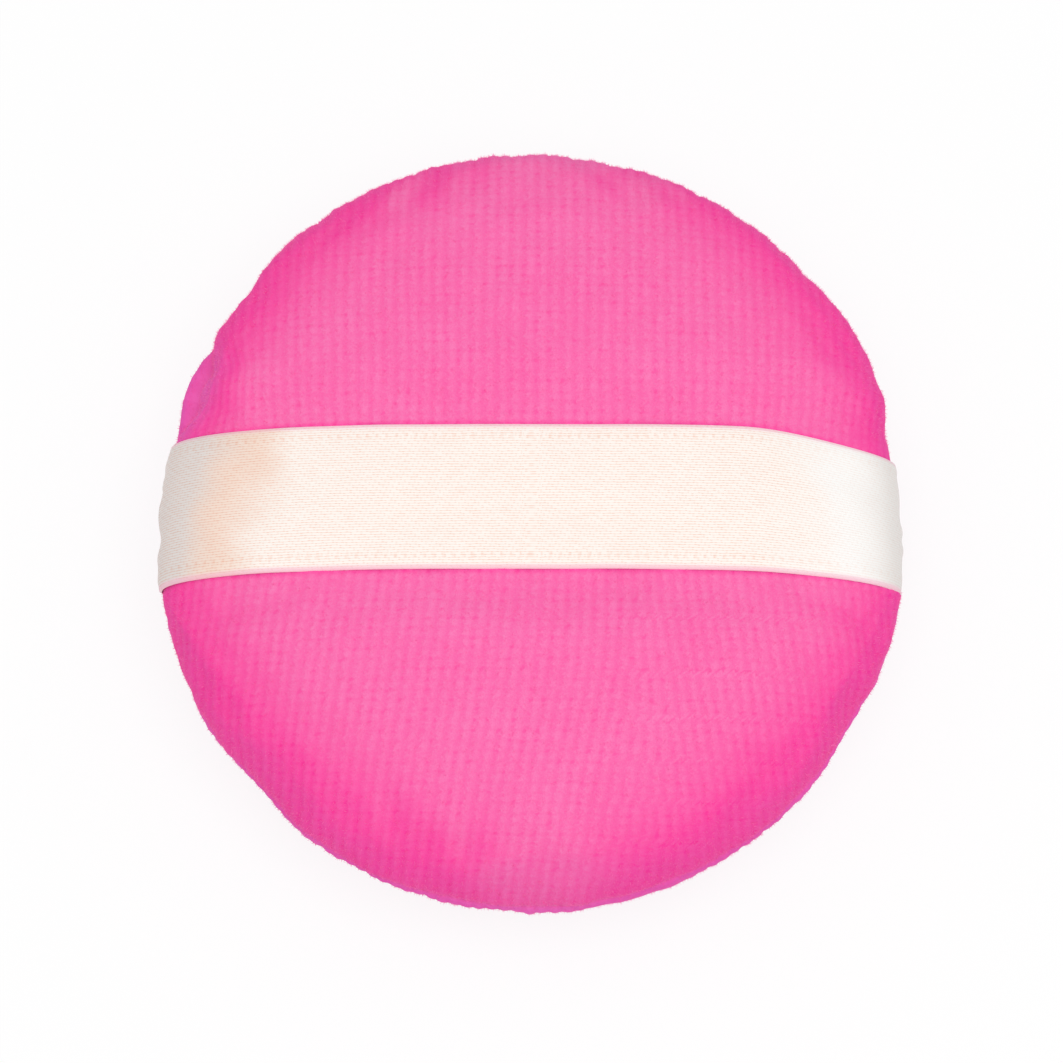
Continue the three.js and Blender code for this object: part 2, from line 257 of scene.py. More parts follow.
class RibbonLook(bpy.types.PropertyGroup):
    """Sizes and colours of the satin ribbon"""

    width: length("Ribbon Width", "Selvedge to selvedge", 0.016)
    full_length: length("Ribbon Length", "Raw end to raw end, where its sheen is placed from", 0.100)
    thickness: length("Ribbon Thickness", "Thickness of the satin", 0.0003)
    edge_round: length("Edge Round", "How far its face stops short of its back at the edges", 0.00014)
    lie: length("Ribbon Lie", "Space under the ribbon where it lies on the velour", 0.0002)
    skew: length("Ribbon Skew", "How far its right end strays towards the front", 0.0012)
    gather: length("Ribbon Gather", "How far each edge is drawn in at its right end", 0.0008)
    left_slant: length("Left Slant", "How much further out its front edge is at the left end", 0.0010)
    right_slant: length("Right Slant", "How much further out its front edge is at the right end", 0.0003)
    end_wave: length("End Wave", "Unevenness of its bends into the seam", 0.00016)
    end_dent: length("End Dent", "Dent in its right bend", 0.00045)
    float_length: length("Float Length", "Length of a yarn's float on the face", 0.00105)
    float_pitch: length("Float Pitch", "Row to row of the floats", 0.00029)
    selvedge_inset: length("Selvedge Inset", "Edge to the row of selvedge picks", 0.0013)
    selvedge_pitch: length("Selvedge Pitch", "Pick to pick along the selvedge", 0.00102)
    cream: colour("Cream", "Floats of the satin", (0.985, 0.922, 0.868))
    # Painted light and shade on floats that slant into the ribbon's bends
    left_shade_grey: colour("Slanted Grey", "Floats that fall away to the left", (0.755, 0.705, 0.680))
    bend_tan: colour("Bend Tan", "Floats at the start of the left bend", (0.915, 0.720, 0.610))
    right_highlight_white: colour("Slanted White", "Floats at the start of the right bend", (0.975, 0.960, 0.940))
    right_shade_pearl: colour("Slanted Pearl", "Floats that fall away to the right", (0.790, 0.765, 0.740))
    # Painted shade in the dips between floats
    between: colour("Between Floats", "What darkens it where the yarns dip under", (0.93, 0.66, 0.57))
    # Painted pink bounce light from the velour, and its pink fluff over the selvedges
    blush: colour("Edge Blush", "Edges, where the velour shows through", (1.0, 0.50, 0.65))


class SewingLook(bpy.types.PropertyGroup):
    """Sizes and colours of the foam and the sewing thread"""

    thread_width: length("Thread Width", "Diameter of the sewing thread", 0.0004)
    closing_pitch: length("Closing Pitch", "Stitch to stitch where the turning gap is sewn shut", 0.0019)
    turning_gap: length("Turning Gap", "Length that is sewn shut by hand", 0.028)
    thread_pink: colour("Thread Pink", "Sewing thread", (0.80, 0.09, 0.33))
    foam_cream: colour("Foam Cream", "Foam core", (0.88, 0.80, 0.66))


class StageLook(bpy.types.PropertyGroup):
    """Camera, light and floor"""

    view_width: length("View Width", "Width of the picture at the puff", 0.1140)
    lens: length("Lens", "Focal length of the camera", 0.200)
    elevation: FloatProperty(
        name="Elevation", description="Camera above the table", default=radians(73), subtype="ANGLE"
    )
    sky: share_of("Sky", "Light from all round", 0.68, most=2)
    softbox_watts: FloatProperty(
        name="Softbox", description="Power of the overhead softbox", default=2.4, min=0, unit="POWER"
    )
    floor_white: share_of("Floor White", "Reflectance of the floor", 0.97)


GROUPS = {
    "puff_sizes": PuffSizes,
    "puff_velour": VelourLook,
    "puff_ribbon": RibbonLook,
    "puff_sewing": SewingLook,
    "puff_stage": StageLook,
}


class Wire:
    """A socket in a node tree. Arithmetic on it adds Math nodes, and node() adds any other node."""

    def __init__(self, tree, socket=None):
        self.tree = tree
        self.socket = socket

    def node(self, kind, settings=None, inputs=None, output=0):
        made = self.tree.nodes.new(kind)
        for name, value in (settings or {}).items():
            setattr(made, name, value)
        for key, value in (inputs or {}).items():
            if isinstance(value, Wire):
                self.tree.links.new(value.socket, made.inputs[key])
            else:
                made.inputs[key].default_value = value
        return Wire(self.tree, made.outputs[output] if made.outputs else None)

    def also(self, output):
        """Another output of the same node."""
        return Wire(self.tree, self.socket.node.outputs[output])

    def math(self, operation, *values):
        return self.node("ShaderNodeMath", {"operation": operation}, dict(enumerate(values)))

    def mixed(self, first, second, blend="MIX"):
        """The first colour where this is 0, blended with the second where it is 1."""
        inputs = {MIX_FACTOR: self, MIX_A: opaque(first), MIX_B: opaque(second)}
        return self.node("ShaderNodeMix", {"data_type": "RGBA", "blend_type": blend}, inputs, MIX_COLOUR)

    def step(self, low, high):
        """0 below low, 1 above high and smooth between."""
        inputs = {"Value": self, "From Min": low, "From Max": high}
        return self.node("ShaderNodeMapRange", {"interpolation_type": "SMOOTHSTEP"}, inputs)

    def floor(self):
        return self.math("FLOOR", self)

    def saw(self):
        """1 at whole numbers, 0 halfway between them."""
        return abs(self.math("FRACT", self) - 0.5) * 2

    def attribute(self, name, output="Fac"):
        """What a mesh keeps at its points under a name."""
        return self.node("ShaderNodeAttribute", {"attribute_name": name}, None, output)

    def place(self):
        return self.node("ShaderNodeTexCoord", None, None, "Object")

    def parts(self):
        """X, Y and Z of a vector."""
        split = self.node("ShaderNodeSeparateXYZ", None, {"Vector": self})
        return split, split.also("Y"), split.also("Z")

    def vector(self, x, y, z=0.0):
        return self.node("ShaderNodeCombineXYZ", None, {"X": x, "Y": y, "Z": z})

    def noise(self, size, detail=2.0, roughness=0.5):
        """Noise of about that size over these coordinates, from 0 to 1."""
        inputs = {"Vector": self, "Scale": 1 / size, "Detail": detail, "Roughness": roughness}
        return self.node("ShaderNodeTexNoise", None, inputs)

    def chance(self, along):
        """A random share for each cell of a pattern, numbered by this and along it."""
        cell = {"Vector": self.vector(self, along)}
        return self.node("ShaderNodeTexWhiteNoise", {"noise_dimensions": "2D"}, cell, "Value")

    def bump(self, strength, distance):
        """The normal of a surface with this height."""
        return self.node("ShaderNodeBump", None, {"Strength": strength, "Distance": distance, "Height": self})

    def __abs__(self):
        return self.math("ABSOLUTE", self)


def add_arithmetic(method, operation):
    """Lets Python's operator add a Math node, with the Wire on either side of it."""
    setattr(Wire, f"__{method}__", lambda wire, other: wire.math(operation, wire, other))
    setattr(Wire, f"__r{method}__", lambda wire, other: wire.math(operation, other, wire))


for arithmetic in (("add", "ADD"), ("sub", "SUBTRACT"), ("mul", "MULTIPLY"), ("truediv", "DIVIDE")):
    add_arithmetic(*arithmetic)


def opaque(value):
    return value if isinstance(value, Wire) else (*value, 1)


def darker(value, share):
    return tuple(share * part for part in value)


def new_material(name):
    """An empty material, and its tree as a Wire."""
    material = bpy.data.materials.new(name)
    material.use_nodes = True
    material.node_tree.nodes.clear()
    return material, Wire(material.node_tree)


def finish_surface(material, wire, inputs, kind="ShaderNodeBsdfPrincipled"):
    shader = wire.node(kind, None, inputs)
    wire.node("ShaderNodeOutputMaterial", None, {"Surface": shader})
    return material


def velour_material(look):
    """Matte pile: tufts in rows along the wales, deeper between them, with painted light on top and painted
    shade down the sides.
    """
    material, wire = new_material("velour_cloth")
    across, along, tilt = wire.attribute("cloth", "Vector").parts()
    slope, powder_side = wire.attribute("slope"), wire.attribute("powder_side")
    place = wire.place()
    bend = place.noise(1.6 * MM)
    fluff = place.noise(0.42 * MM, 3.0, 0.6)
    grain = place.noise(0.16 * MM, 2.0, 0.6)
    cloud = place.noise(6 * MM)

    wale = across + 0.3 * (bend - 0.5) + 0.7 * (fluff - 0.5)
    course = along + 0.6 * (bend - 0.5) + 0.7 * (fluff - 0.5)
    column, row = (wale + 0.5).floor(), (course + 0.5).floor()
    crest = 1 - abs(wale - column) * 2
    bead = 1 - abs(course - row) * 2
    tuft = crest.step(0.05, 0.95) * (0.5 + 0.5 * bead.step(0.0, 0.7)) * (0.6 + 0.4 * column.chance(row))
    corner = wale.floor().chance(course.floor()).step(0.70, 0.74)
    pit = (1 - crest.step(0.05, 0.45)) * (1 - bead.step(0.05, 0.5)) * corner

    # How far the colour turns from the painted light of the top to the painted shade of the sides
    side = (slope + 0.12 * (cloud - 0.5)).step(0.14, 0.58)
    tone = 0.42 + 0.34 * (tuft - 0.3) + 0.6 * (fluff - 0.5) + 0.95 * (grain - 0.5) + 0.35 * (cloud - 0.5)
    spread = (tone - 0.45 * pit).step(-0.15, 1.15)
    # Tufts on top with painted light, and tufts down the sides with painted shade
    face = spread.mixed(look.groove_pink, look.rib_pink)
    shaded_flank = spread.mixed(look.deep_pink, look.side_pink)
    # Painted sheen on the powder side and on the crown beside the lobe
    lilac = spread.mixed(darker(look.lilac, 0.85), look.lilac)
    base = (powder_side * 0.6).mixed(side.mixed(face, shaded_flank), lilac)
    return finish_surface(material, wire, {
        # Painted shade darkening the last of the side above the seam
        "Base Color": tilt.step(0.6, 0.9).mixed(base, look.rim_shade, "MULTIPLY"),
        "Roughness": 0.92,
        "Specular IOR Level": 0.1,
        "Sheen Weight": 0.14,
        "Sheen Roughness": 0.30,
        "Sheen Tint": (1.0, 0.62, 0.88, 1),
        "Normal": (0.55 * tuft + 0.5 * fluff + 0.2 * grain).bump(0.2, 0.14 * MM),
    })


def fibre_material(name, pink):
    """One pile fibre's dyed fluff."""
    material, wire = new_material(name)
    inputs = {"Base Color": opaque(pink), "Roughness": 0.85, "Specular IOR Level": 0.15}
    return finish_surface(material, wire, inputs)


def satin_material(look):
    """Satin weave: floats in staggered rows with painted shade where yarns dip, selvedge picks, painted pink
    bounce light at the edges, and painted light and shade where it slants into its bends.
    """
    material, wire = new_material("satin_weave")
    weave, tilt = wire.attribute("weave", "Vector"), wire.attribute("tilt")
    along, across, _ = weave.parts()
    from_edge = look.width / 2 - abs(across)

    stray = weave.noise(2.4 * MM)
    row = across / look.float_pitch + 0.5 * (stray - 0.5)
    furrow = row.saw().step(0.35, 1.0)
    run = along / look.float_length + row.floor() * 0.382 + 0.35 * stray
    chance = row.floor().chance(run.floor())
    dip = run.saw().step(0.66, 0.96)
    cells = {"Vector": weave, "Scale": (1 / (1.2 * MM), 1 / (0.15 * MM), 1 / MM)}
    yarn = weave.node("ShaderNodeMapping", {"vector_type": "POINT"}, cells).noise(1.0)
    pick_row = 1 - (abs(from_edge - look.selvedge_inset) / (0.40 * MM)).step(0.4, 1.0)
    selvedge = (along / look.selvedge_pitch).saw().step(0.40, 0.85) * pick_row
    # Painted shade where the yarns dip under, with random yarn tone and the selvedge picks
    weave_shade_and_pattern = furrow * (0.35 + 0.3 * chance + 0.55 * dip) + 0.15 * dip + 0.75 * (yarn - 0.5) + 0.25 * selvedge

    # Painted light and shade where the ribbon slants into its bends: tan and grey shade to the left, more of
    # it on the upper half near the left end, a white highlight then pearl shade to the right
    upper = across.step(-0.3 * look.width, 0.45 * look.width)
    upper_left_shade = upper * (1 - along.step(0.2 * look.full_length, 0.3 * look.full_length))
    left = 0.12 * upper_left_shade - tilt
    lit_and_shaded = look.cream
    for part, tone in (
        (left.step(0.16, 0.38) * (1 - left.step(0.46, 0.66)), look.bend_tan),
        (left.step(0.33, 0.60), look.left_shade_grey),
        (tilt.step(0.13, 0.34), look.right_highlight_white),
        (tilt.step(0.36, 0.80), look.right_shade_pearl),
    ):
        lit_and_shaded = (part * 0.95).mixed(lit_and_shaded, tone)
    # Painted shade of the dips, multiplied in, less where the ribbon slants to the right
    depth = weave_shade_and_pattern.step(0.0, 1.0) * (1 - 0.6 * tilt.step(0.10, 0.36))
    woven = depth.mixed(lit_and_shaded, look.between, "MULTIPLY")
    # Where painted pink bounce light from the velour, and its fluff, tint the selvedges
    edge = 1 - (from_edge + 0.2 * MM * (yarn - 0.5)).step(0.0, 0.54 * MM)
    height = 1 - 0.55 * furrow - 0.4 * dip + 0.35 * (yarn - 0.5) - 0.3 * selvedge
    return finish_surface(material, wire, {
        "Base Color": (edge * 0.55).mixed(woven, look.blush),
        "Roughness": 0.42 + 0.12 * furrow,
        "Specular IOR Level": 0.25,
        "Anisotropic": 0.5,
        "Normal": height.bump(0.35, 0.06 * MM),
    })


def foam_material(look):
    """Open-cell foam: pale cell walls and pores darkened by painted shade, with random tone."""
    material, wire = new_material("open_cell_foam")
    place = wire.place()
    cells = wire.node("ShaderNodeTexVoronoi", {"feature": "F1"}, {"Vector": place, "Scale": 1 / (0.7 * MM)})
    pore = 1 - cells.step(0.25, 0.55)
    # Painted shade in the pores, with a little random tone
    depth = (0.75 * pore + 0.25 * place.noise(6 * MM)).step(0.0, 1.1)
    return finish_surface(material, wire, {
        "Base Color": depth.mixed(look.foam_cream, darker(look.foam_cream, 0.55)),
        "Roughness": 0.95,
        "Normal": (1 - pore).bump(0.8, 0.2 * MM),
    })


def thread_material(look):
    """Spun sewing thread: slanting plies with painted shade between them and a little fluff."""
    material, wire = new_material("spun_thread")
    place = wire.place()
    x, y, z = place.parts()
    ply = ((x + y + 1.6 * z) / (0.45 * MM)).saw()
    # Painted shade in the grooves between plies, with a little fluff tone
    depth = (0.6 * ply + 0.5 * (place.noise(0.12 * MM, 3.0) - 0.5)).step(0.0, 1.0)
    return finish_surface(material, wire, {
        "Base Color": depth.mixed(look.thread_pink, darker(look.thread_pink, 0.55)),
        "Roughness": 0.6,
        "Sheen Weight": 0.2,
        "Normal": (1 - ply).bump(0.6, 0.06 * MM),
    })


def smooth_step(value, low, high):
    part = np.clip((value - low) / (high - low), 0, 1)
    return part * part * (3 - 2 * part)


def cloth_noise(across, along, across_size, along_size, seed, waves=28):
    """Smooth random field of spread 1 over the cloth, from plane waves."""
    draw = np.random.default_rng(seed)
    turns = draw.normal(0, 1, (2, waves)) * FULL_TURN
    phases = draw.uniform(0, FULL_TURN, waves)
    field = np.zeros(np.broadcast(across, along).shape)
    for k in range(waves):
        field += np.cos(turns[0, k] * across / across_size + turns[1, k] * along / along_size + phases[k])
    return field * math.sqrt(2 / waves)


def running_length(points):
    """How far along a line of points each one is."""
    steps = np.linalg.norm(np.diff(points, axis=-2), axis=-1)
    return np.concatenate([0 * steps[..., :1], np.cumsum(steps, axis=-1)], axis=-1)


class PuffShape:
    """The stuffed puff as formulas: its drawn-in oval rim, two rounded panels, and the ribbon over them."""

    def __init__(self, scene):
        self.sizes = scene.puff_sizes
        self.ribbon = scene.puff_ribbon
        self.seam_level = self.sizes.belly_depth
        self.fold_centre = self.sizes.seam_gap / 2 + self.sizes.fold_radius
        self.depth = {CROWN: self.sizes.crown_height, BASE: self.sizes.belly_depth}
        self.flat = {CROWN: 0.0, BASE: self.sizes.rest_width / self.sizes.puff_width}
        self.tables = {panel: self.section_table(panel) for panel in (CROWN, BASE)}
        self.cloth_radius = self.tables[CROWN][3]

    def oval_radius(self, angle):
        across = np.cos(angle) / (self.sizes.puff_width / 2)
        along = np.sin(angle) / (self.sizes.puff_length / 2)
        return 1 / np.hypot(across, along)

    def rim_offset(self, angle):
        return self.oval_radius(angle) * np.sin(angle)

    def ribbon_pull(self, angle):
        return np.exp(-((self.rim_offset(angle) / self.sizes.pull_spread) ** 2))

    def rim_radius(self, angle):
        return self.oval_radius(angle) - self.sizes.rim_pinch * self.ribbon_pull(angle)

    def rim_reach(self, offset):
        """Centre to rim along X, at an offset across the ribbon."""
        angle = np.zeros_like(offset)
        for _ in range(RIM_ROUNDS):
            angle = np.arcsin(offset / self.rim_radius(angle))
        return self.rim_radius(angle) * np.cos(angle)

    @staticmethod
    def stretch(angle, fade, gone):
        """1 on the stretch beside the ribbon's left end where the rim is uneven, up to where it fades."""
        return smooth_step(angle, LOBE_FROM, LOBE_FULL) * (1 - smooth_step(angle, fade, gone))

    def lobe(self, angle):
        """1 where the crown is drawn in there."""
        return self.stretch(angle, LOBE_FADE, LOBE_GONE)

    def lobe_lift(self, angle):
        """The same, but ending at the ribbon's edge."""
        return self.lobe(angle) * (1 - smooth_step(angle, LIFT_FADE, LIFT_GONE))

    def cast(self, angle):
        """1 where the crown's colour there takes the powder side's painted sheen."""
        return self.stretch(angle, SHEEN_FADE, SHEEN_GONE)

    @staticmethod
    def around(angle, middles, spread=HOLLOW_SPREAD):
        """1 at each of some places of the rim, falling to 0 beside them."""
        apart = [(angle - middle + math.pi) % FULL_TURN - math.pi for middle in middles]
        return sum(np.exp(-((part / spread) ** 2)) for part in apart)

    def dents(self, angle):
        """How far the rim stands out of the even oval."""
        bulges = self.sizes.bulge_rise * self.around(angle, BULGE_ANGLES)
        hollows = self.sizes.hollow_depth * self.around(angle, HOLLOW_ANGLES)
        return bulges - hollows - self.sizes.notch_depth * self.around(angle, (NOTCH_ANGLE,), NOTCH_SPREAD)

    def drift(self, x):
        """0 along most of the ribbon, 1 at its right end, where it strays and is gathered."""
        return smooth_step(x, STRAY_FROM, STRAY_FULL)

    def past_ribbon(self, x, y):
        """How far a place is from the ribbon's nearer edge, less than 0 under it."""
        drift = self.drift(x)
        half = self.ribbon.width / 2 - drift * self.ribbon.gather
        return np.abs(y + drift * self.ribbon.skew) - half

    def channel(self, offset):
        past = np.abs(offset) - self.ribbon.width / 2 - self.sizes.channel_margin
        return self.sizes.channel_depth * (1 - smooth_step(past, 0, self.sizes.channel_slope))

    def parting(self, angle):
        past = np.abs(self.rim_offset(angle)) - self.ribbon.width / 2
        return self.sizes.seam_parting * (1 - smooth_step(past, 0, PARTED_SEAM_FADE))

    def fullness(self, angle, panel):
        if panel == BASE:
            return self.sizes.belly_fullness
        return self.sizes.crown_fullness + self.sizes.end_squareness * np.cos(angle) ** 2

    def rounded_share(self, turn, angle, panel):
        """Share of the way to the rim, at a turn of a panel's rounded side."""
        flat = self.flat[panel]
        return flat + (1 - flat) * np.sin(turn) ** (2 / self.fullness(angle, panel))

    def section(self, q, angle, panel):
        """Share of the way to the rim, inset from it and height off the seam, at a place of a section.

        q runs from -1 to 0 over a flat rest face, 0 to 1 over the rounded side and 1 to 2 round the fold.
        """
        turn = np.clip(q, 0, 1) * QUARTER
        fold = np.clip(q - 1, 0, 1) * QUARTER
        share = np.where(q < 0, self.flat[panel] * (1 + q), self.rounded_share(turn, angle, panel))
        height = self.fold_centre + (self.depth[panel] - self.fold_centre) * np.cos(turn)
        inset = self.sizes.fold_radius * (1 - np.cos(fold))
        return share, inset, height - self.sizes.fold_radius * np.sin(fold)

    def section_table(self, panel):
        """q at even steps out over the unit disc, for sections from across the ribbon to along it.

        Also the shares of the cloth's length along the ribbon, the disc's places there, and that length.
        """
        q = np.linspace(-1 if self.flat[panel] else 0, FOLD_END, DENSE_STEPS)
        levels = []
        for level in np.linspace(0, 1, SECTION_LEVELS):
            share, inset, height = self.section(q, np.arccos(math.sqrt(level)), panel)
            radius = share * (self.sizes.puff_width / 2 - inset)
            run = running_length(np.stack([radius, height], axis=-1))
            disc = CLOTH_STRETCH * run / run[-1] + (1 - CLOTH_STRETCH) * share
            levels.append(np.interp(np.linspace(0, 1, SECTION_STEPS + 1), disc, q))
        return np.array(levels), run / run[-1], disc, run[-1]

    def place_of(self, disc, angle, panel):
        """q at a place of a panel's unit disc."""
        table = self.tables[panel][0]
        level = np.cos(angle) ** 2 * (SECTION_LEVELS - 1)
        step = disc * SECTION_STEPS
        i = np.minimum(level.astype(int), SECTION_LEVELS - 2)
        j = np.minimum(step.astype(int), SECTION_STEPS - 1)
        s, t = level - i, step - j
        near = (1 - t) * table[i, j] + t * table[i, j + 1]
        far = (1 - t) * table[i + 1, j] + t * table[i + 1, j + 1]
        return (1 - s) * near + s * far

    def wale_start(self, part):
        """Places across the disc, at shares of the cloth's length along the ribbon."""
        _, parts, disc, _ = self.tables[CROWN]
        return np.sign(part) * np.interp(np.abs(part), parts, disc)

    @staticmethod
    def parted(along):
        """How far the wales have parted from the line they would keep, at a place along them."""
        ahead = -along - PARTING_START
        return PARTING_SLOPE * (ahead + np.hypot(ahead, PARTING_SOFT)) / 2

    @staticmethod
    def parting_side(start):
        """-1 for wales left of the parting, 1 right of it."""
        return np.tanh((start - PARTING_MIDDLE) / PARTING_WIDTH)

    def wale_line(self, start, along):
        """Place across the disc of a wale that starts there, at a place along it."""
        return start + self.parted(along) * self.parting_side(start) * (1 - start**8)

    def added_wales(self, start, along, pitch):
        """Whole wales that have begun in the parting, counted as it is crossed."""
        begun = np.round(self.parted(along) * self.sizes.puff_width / pitch)
        return begun * (1 + self.parting_side(start)) / 2

    def settle(self, share, inset, height, near, angle, panel, lobed=1.0):
        """Points in space: drawn in and lifted by the ribbon, lobed at its left end, sunk under it.

        near says how fully a place moves with the seam.
        """
        lobe = lobed * self.lobe(angle)
        radius = share * (self.rim_radius(angle) - inset - lobe * self.sizes.lobe_draw * near)
        radius = radius + self.dents(angle) * share ** 8
        if panel == BASE:
            radius = radius + (0.5 * lobe + 0.35 * self.lobe_lift(angle)) * MM * 4 * near * (1 - near)
        level = height / self.depth[panel]
        pull = self.sizes.seam_lift * self.ribbon_pull(angle) + panel * self.parting(angle)
        x, y = radius * np.cos(angle), radius * np.sin(angle)
        z = self.seam_level + panel * height + pull * share * (1 - level)
        z = z + lobed * self.lobe_lift(angle) * self.sizes.lobe_rise * near
        if panel == CROWN:
            bulge = smooth_step(share, 0.5, 0.85) * (1 - smooth_step(share, 0.9, 1.0))
            ridge = self.around(angle, (RIDGE_ANGLE,), RIDGE_SPREAD)
            z = z - self.channel(y) * level + self.sizes.ridge_rise * ridge * bulge
        return np.stack([x, y, z], axis=-1)

    def middle(self, height, panel):
        """The one point in the middle of a panel, at a height off the seam."""
        return self.settle(np.zeros(1), 0, height, 0, np.zeros(1), panel)

    def outside(self, a, b, panel):
        """Points on a panel's outside, at places of the unit disc that its cloth was cut as, and their q."""
        angle = np.arctan2(b, a)
        q = self.place_of(np.minimum(np.hypot(a, b), 1), angle, panel)
        share, inset, height = self.section(q, angle, panel)
        near = smooth_step(share, 0.72, 0.99) if panel == CROWN else smooth_step(q, 0.5, 1.9)
        return self.settle(share, inset, height, near, angle, panel), q

    def inside(self, panel, angle):
        """Loops of points from the fold along the turned-in edge, over the lining and to the middle."""
        gap, thick, fold = self.sizes.seam_gap / 2, self.sizes.velour_thickness, self.sizes.fold_radius
        raw = fold + self.sizes.seam_allowance
        rings = [(1, raw, gap, 1), (1, raw, gap + thick, 1), (1, fold, gap + thick, 1)]
        crown = self.depth[panel] - thick - self.fold_centre
        for part in np.linspace(1, 0, LINING_RINGS + 1)[:-1]:
            turn = part * QUARTER
            share = self.rounded_share(turn, angle, panel)
            rings.append((share, thick, self.fold_centre + crown * math.cos(turn), part**6))
        if self.flat[panel]:
            rings.append((self.flat[panel], thick, self.fold_centre + crown, 0))
        loops = [self.settle(*ring, angle, panel) for ring in rings]
        return [*loops, self.middle(self.depth[panel] - thick, panel)]

    def ribbon_points(self, side, q, offset, off):
        """Points of the ribbon's half on one side, that far off the velour.

        q runs 0 to 1 over the crown, to 2 round the fold and to 3 in the seam.
        """
        look = self.ribbon
        rim = self.rim_reach(offset)
        full = self.fullness(np.where(side > 0, 0.0, math.pi), CROWN)
        share_along = np.sin(np.clip(q, 0, 1) * QUARTER) ** (2 / full)
        base = share_along * rim
        angle = np.arctan2(offset, side * np.maximum(base, 1e-9))
        share = np.clip(np.hypot(base, offset) / self.rim_radius(angle), 0, 1)
        share = np.where(q >= 1, 1, share)
        rise = np.sqrt(np.maximum(1 - share ** self.fullness(angle, CROWN), 0))
        height = self.fold_centre + (self.depth[CROWN] - self.fold_centre) * rise
        fold = np.clip(q - 1, 0, 1) * QUARTER
        bend = self.sizes.fold_radius + off
        inset = np.where(q > 1, self.sizes.fold_radius - bend * np.cos(fold), 0)
        inset = inset + np.clip(q - 2, 0, 1) * self.sizes.seam_allowance
        height = np.where(q > 1, self.fold_centre - bend * np.sin(fold), height)
        points = self.settle(share, 0, height, 0, angle, CROWN, 0.0)
        bent = smooth_step(q, 0.85, 1.1)
        wave = cloth_noise(offset + side * 40 * MM, offset * 0, 4 * MM, MM, WAVE_SEED) * bent
        dent = np.exp(-(((offset - DENT_MIDDLE) / DENT_SPREAD) ** 2)) * bent
        lean = np.where(side > 0, look.right_slant, look.left_slant) * share**4
        x = np.where(q > 1, rim - inset, share_along * (rim + off))
        x = x + look.end_wave * wave - lean * offset / look.width
        x = x - np.where(side > 0, look.end_dent, 0) * dent
        points[..., 0] = side * x
        points[..., 1] = offset
        points[..., 2] += np.where(q > 1, 0, off)
        return points


def cloth_grid(shape, panel, columns, rows):
    """Grid over a panel's unit disc, its columns along the wales: starts, places, runs from the ribbon."""
    reach = math.cos(END_COLUMN_ANGLE)
    start = shape.wale_start(np.linspace(-reach, reach, columns + 1))[:, None]
    ends = []
    for way in (-1, 1):
        end = way * np.sqrt(1 - start**2)
        for _ in range(END_ROUNDS):
            end = (end + way * np.sqrt(np.maximum(1 - shape.wale_line(start, end) ** 2, 0))) / 2
        ends.append(end)
    line = ends[0] + (ends[1] - ends[0]) * np.linspace(0, 1, 4 * rows + 1)
    points, _ = shape.outside(shape.wale_line(start, line), line, panel)
    run = running_length(points)
    even = np.linspace(0, 1, rows + 1) * run[:, -1:]
    b = np.stack([np.interp(*three) for three in zip(even, run, line)])
    middle = np.stack([np.interp(0, *two) for two in zip(line, run)])
    return start, b, even - middle[:, None]


def grid_faces(numbers, panel):
    """Four-cornered faces over a grid of point numbers, facing out of the panel."""
    corners = [numbers[:-1, :-1], numbers[1:, :-1], numbers[1:, 1:], numbers[:-1, 1:]]
    return np.stack(corners, axis=-1).reshape(-1, 4)[:, ::panel]


def grid_edge(numbers):
    """Point numbers once round the edge of a grid, anticlockwise from above."""
    return np.concatenate([numbers[:, 0], numbers[-1, 1:], numbers[-2::-1, -1], numbers[0, -2:0:-1]])


def band_faces(loops):
    """Faces between neighbouring loops of point numbers, which run anticlockwise from above, going down."""
    bands = []
    for upper, lower in zip(loops, loops[1:]):
        bands.append(np.stack([upper, lower, np.roll(lower, -1), np.roll(upper, -1)], axis=-1))
    return np.concatenate(bands)


def fan_faces(loop, tip):
    """Faces from a loop of point numbers down to one more."""
    return np.stack([loop, np.full(len(loop), tip), np.roll(loop, -1)], axis=-1)


def grid_normals(points, panel):
    normals = np.cross(np.gradient(points, axis=0), np.gradient(points, axis=1))
    normals /= np.maximum(np.linalg.norm(normals, axis=-1, keepdims=True), 1e-12)
    return normals * panel


def spline_weights(fine, coarse):
    """Weights that carry values at coarse + 1 even places smoothly to fine + 1 places."""
    at = np.linspace(0, coarse, fine + 1)
    first = np.minimum(at.astype(int), coarse - 1)
    t = at - first
    shares = [(1 - t) ** 3, 3 * t**3 - 6 * t**2 + 4, -3 * t**3 + 3 * t**2 + 3 * t + 1, t**3]
    weights = np.zeros((fine + 1, coarse + 1))
    for step, part in enumerate(shares):
        column = np.clip(first + step - 1, 0, coarse)
        np.add.at(weights, (np.arange(fine + 1), column), part / 6)
    return weights


def linked(name, data):
    """A new object in the scene."""
    made = bpy.data.objects.new(name, data)
    bpy.context.scene.collection.objects.link(made)
    return made


def new_piece(name, points, faces, material):
    """A smooth piece from points and arrays of faces."""
    mesh = bpy.data.meshes.new(name)
    mesh.from_pydata(points.tolist(), [], [face for some in faces for face in some.tolist()])
    mesh.shade_smooth()
    mesh.materials.append(material)
    return linked(name, mesh)


def keep_values(piece, name, values):
    """Keeps a number or vector at each point of a piece, for its material to read."""
    kind, field = ("FLOAT", "value") if values.ndim == 1 else ("FLOAT_VECTOR", "vector")
    attribute = piece.data.attributes.new(name, kind, "POINT")
    attribute.data.foreach_set(field, values.astype(np.float32).ravel())


